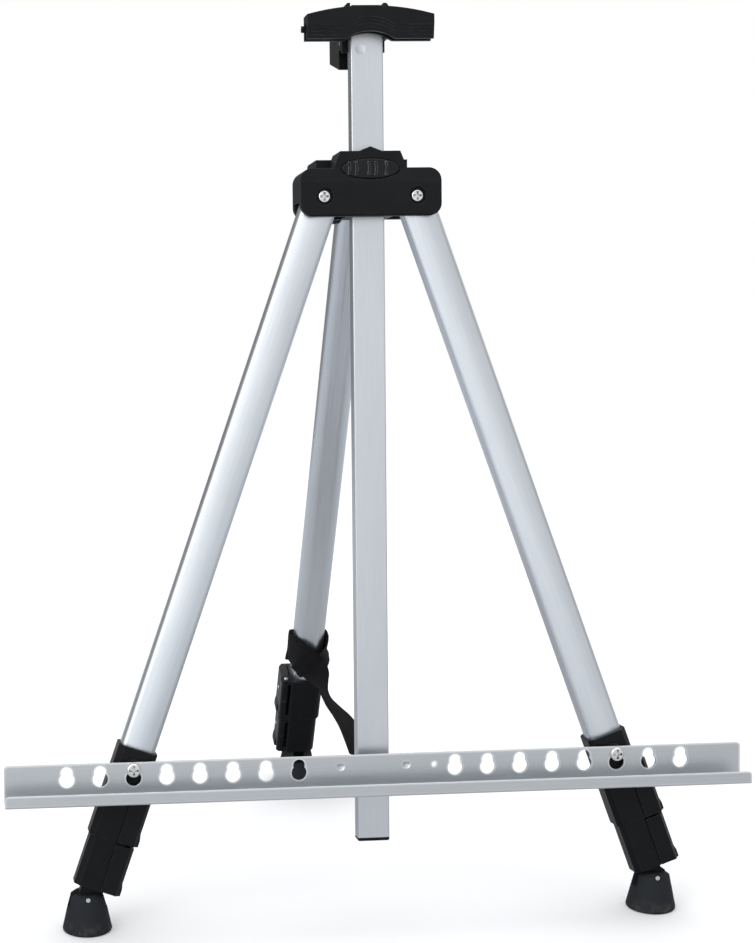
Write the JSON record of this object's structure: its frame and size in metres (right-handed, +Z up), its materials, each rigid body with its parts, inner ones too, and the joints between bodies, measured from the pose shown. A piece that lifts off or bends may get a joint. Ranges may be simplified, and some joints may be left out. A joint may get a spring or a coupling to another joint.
{
  "type": "field easel",
  "caption": "Folding tripod field easel with telescopic legs, flip locks, sliding mast with top holder, punched tray rail and a carrying strap.",
  "frame": {"origin": "centre of the bounding box on the ground, with the three feet standing on Z = 0", "axes": "X runs along the tray rail to the painter's right, Y away from the painter towards the rear leg, Z up and the longest extent"},
  "size_m": [0.5, 0.3468, 0.6095],
  "materials": {
    "tube_aluminium": "satin silver anodised extrusion with fine lengthwise drawing lines",
    "rail_aluminium": "satin anodised folded sheet with bright punched edges",
    "black_plastic": "moulded black nylon with a fine spark texture",
    "button_plastic": "smoother moulded black plastic with lighter rubbed grip ribs",
    "foot_rubber": "dull black moulded rubber",
    "steel": "bright zinc plated steel",
    "strap_webbing": "black woven polypropylene webbing"
  },
  "bodies": {
    "hub": {"hub_front": "black_plastic", "hub_rear": "black_plastic", "hub_pivot_screws": "steel", "hub_pivot_nuts": "steel", "rear_hinge_pin": "steel", "button_pin": "steel", "button_spring": "steel"},
    "button": {"mast_button": "button_plastic", "mast_brake_pad": "foot_rubber"},
    "mast": {"mast_tube": "tube_aluminium", "mast_plugs": "black_plastic"},
    "holder": {"holder_bar": "black_plastic", "holder_pin": "steel"},
    "holder_lever": {"holder_lever": "black_plastic"},
    "tray": {"tray_rail": "rail_aluminium", "tray_hook_screws": "steel"},
    "left_upper_leg": {"left_knuckle": "black_plastic", "left_upper_tube": "tube_aluminium", "left_lock1_body": "black_plastic", "left_lock1_pin": "steel", "left_hook_collar": "black_plastic"},
    "left_middle_leg": {"left_middle_tube": "tube_aluminium", "left_lock2_body": "black_plastic", "left_lock2_pin": "steel"},
    "left_lower_leg": {"left_lower_tube": "tube_aluminium", "left_foot_plug": "black_plastic"},
    "left_foot_swivel": {"left_foot": "foot_rubber", "left_foot_pin": "steel"},
    "left_lever1": {"left_lock1_lever": "black_plastic"},
    "left_lever2": {"left_lock2_lever": "black_plastic"},
    "right_upper_leg": {"right_knuckle": "black_plastic", "right_upper_tube": "tube_aluminium", "right_lock1_body": "black_plastic", "right_lock1_pin": "steel", "right_hook_collar": "black_plastic"},
    "right_middle_leg": {"right_middle_tube": "tube_aluminium", "right_lock2_body": "black_plastic", "right_lock2_pin": "steel"},
    "right_lower_leg": {"right_lower_tube": "tube_aluminium", "right_foot_plug": "black_plastic"},
    "right_foot_swivel": {"right_foot": "foot_rubber", "right_foot_pin": "steel"},
    "right_lever1": {"right_lock1_lever": "black_plastic"},
    "right_lever2": {"right_lock2_lever": "black_plastic"},
    "rear_upper_leg": {"rear_knuckle": "black_plastic", "rear_upper_tube": "tube_aluminium", "rear_lock1_body": "black_plastic", "rear_lock1_pin": "steel", "strap_loop": "strap_webbing", "strap_tail": "strap_webbing"},
    "rear_middle_leg": {"rear_middle_tube": "tube_aluminium", "rear_lock2_body": "black_plastic", "rear_lock2_pin": "steel"},
    "rear_lower_leg": {"rear_lower_tube": "tube_aluminium", "rear_foot_plug": "black_plastic"},
    "rear_foot_swivel": {"rear_foot": "foot_rubber", "rear_foot_pin": "steel"},
    "rear_lever1": {"rear_lock1_lever": "black_plastic"},
    "rear_lever2": {"rear_lock2_lever": "black_plastic"}
  },
  "joints": [
    {"name": "mast_slide", "type": "slide", "parent": "hub", "child": "mast", "axis": [0, 0.1305, 0.9914], "range_m": [0, 0.375]},
    {"name": "button_press", "type": "hinge", "parent": "hub", "child": "button", "pos_m": [0, -0.0907, 0.49237], "axis": [-1, 0, 0], "range_deg": [0, 4], "stiffness_Nm_per_rad": 0.25, "springref_deg": -4.58, "deforming": ["button_spring"]},
    {"name": "holder_slide", "type": "slide", "parent": "mast", "child": "holder", "axis": [0, 0.1305, 0.9914], "range_m": [-0.05, 0]},
    {"name": "holder_lever_swing", "type": "hinge", "parent": "holder", "child": "holder_lever", "pos_m": [0, -0.05418, 0.58439], "axis": [1, 0, 0], "range_deg": [0, 75]},
    {"name": "tray_lift", "type": "slide", "parent": "hub", "child": "tray", "axis": [0, 0.1305, 0.9914], "range_m": [0, 0.005]},
    {"name": "left_leg_fold", "type": "hinge", "parent": "hub", "child": "left_upper_leg", "pos_m": [-0.031, -0.08292, 0.48328], "axis": [0, -0.9914, 0.1305], "range_deg": [0, 18]},
    {"name": "left_middle_slide", "type": "slide", "parent": "left_upper_leg", "child": "left_middle_leg", "axis": [-0.3338, -0.123, -0.9346], "range_m": [0, 0.33]},
    {"name": "left_lower_slide", "type": "slide", "parent": "left_middle_leg", "child": "left_lower_leg", "axis": [-0.3338, -0.123, -0.9346], "range_m": [0, 0.33]},
    {"name": "left_foot_tilt", "type": "hinge", "parent": "left_lower_leg", "child": "left_foot_swivel", "pos_m": [-0.1954, -0.14352, 0.023], "axis": [0, 0.9914, -0.1305], "range_deg": [-4, 43]},
    {"name": "left_lock1_flip", "type": "hinge", "parent": "left_upper_leg", "child": "left_lever1", "pos_m": [-0.15874, -0.12948, 0.076], "axis": [0.3338, 0.123, 0.9346], "range_deg": [0, 100]},
    {"name": "left_lock2_flip", "type": "hinge", "parent": "left_middle_leg", "child": "left_lever2", "pos_m": [-0.17218, -0.13511, 0.04089], "axis": [0.3338, 0.123, 0.9346], "range_deg": [0, 100]},
    {"name": "right_leg_fold", "type": "hinge", "parent": "hub", "child": "right_upper_leg", "pos_m": [0.031, -0.08292, 0.48328], "axis": [0, 0.9914, -0.1305], "range_deg": [0, 18]},
    {"name": "right_middle_slide", "type": "slide", "parent": "right_upper_leg", "child": "right_middle_leg", "axis": [0.3338, -0.123, -0.9346], "range_m": [0, 0.33]},
    {"name": "right_lower_slide", "type": "slide", "parent": "right_middle_leg", "child": "right_lower_leg", "axis": [0.3338, -0.123, -0.9346], "range_m": [0, 0.33]},
    {"name": "right_foot_tilt", "type": "hinge", "parent": "right_lower_leg", "child": "right_foot_swivel", "pos_m": [0.1954, -0.14352, 0.023], "axis": [0, -0.9914, 0.1305], "range_deg": [-4, 43]},
    {"name": "right_lock1_flip", "type": "hinge", "parent": "right_upper_leg", "child": "right_lever1", "pos_m": [0.18966, -0.12805, 0.08686], "axis": [-0.3338, 0.123, 0.9346], "range_deg": [0, 100]},
    {"name": "right_lock2_flip", "type": "hinge", "parent": "right_middle_leg", "child": "right_lever2", "pos_m": [0.20159, -0.13375, 0.05121], "axis": [-0.3338, 0.123, 0.9346], "range_deg": [0, 100]},
    {"name": "rear_leg_fold", "type": "hinge", "parent": "hub", "child": "rear_upper_leg", "pos_m": [0, -0.04342, 0.47304], "axis": [-1, 0, 0], "range_deg": [0, 31], "deforming": ["strap_tail"]},
    {"name": "rear_middle_slide", "type": "slide", "parent": "rear_upper_leg", "child": "rear_middle_leg", "axis": [0, 0.4062, -0.9138], "range_m": [0, 0.33]},
    {"name": "rear_lower_slide", "type": "slide", "parent": "rear_middle_leg", "child": "rear_lower_leg", "axis": [0, 0.4062, -0.9138], "range_m": [0, 0.33]},
    {"name": "rear_foot_tilt", "type": "hinge", "parent": "rear_lower_leg", "child": "rear_foot_swivel", "pos_m": [0, 0.15664, 0.023], "axis": [1, 0, 0], "range_deg": [-3, 48]},
    {"name": "rear_lock1_flip", "type": "hinge", "parent": "rear_upper_leg", "child": "rear_lever1", "pos_m": [-0.0164, 0.12445, 0.07818], "axis": [0, -0.4062, 0.9138], "range_deg": [0, 100]},
    {"name": "rear_lock2_flip", "type": "hinge", "parent": "rear_middle_leg", "child": "rear_lever2", "pos_m": [-0.0156, 0.1408, 0.04386], "axis": [0, -0.4062, 0.9138], "range_deg": [0, 100]}
  ]
}
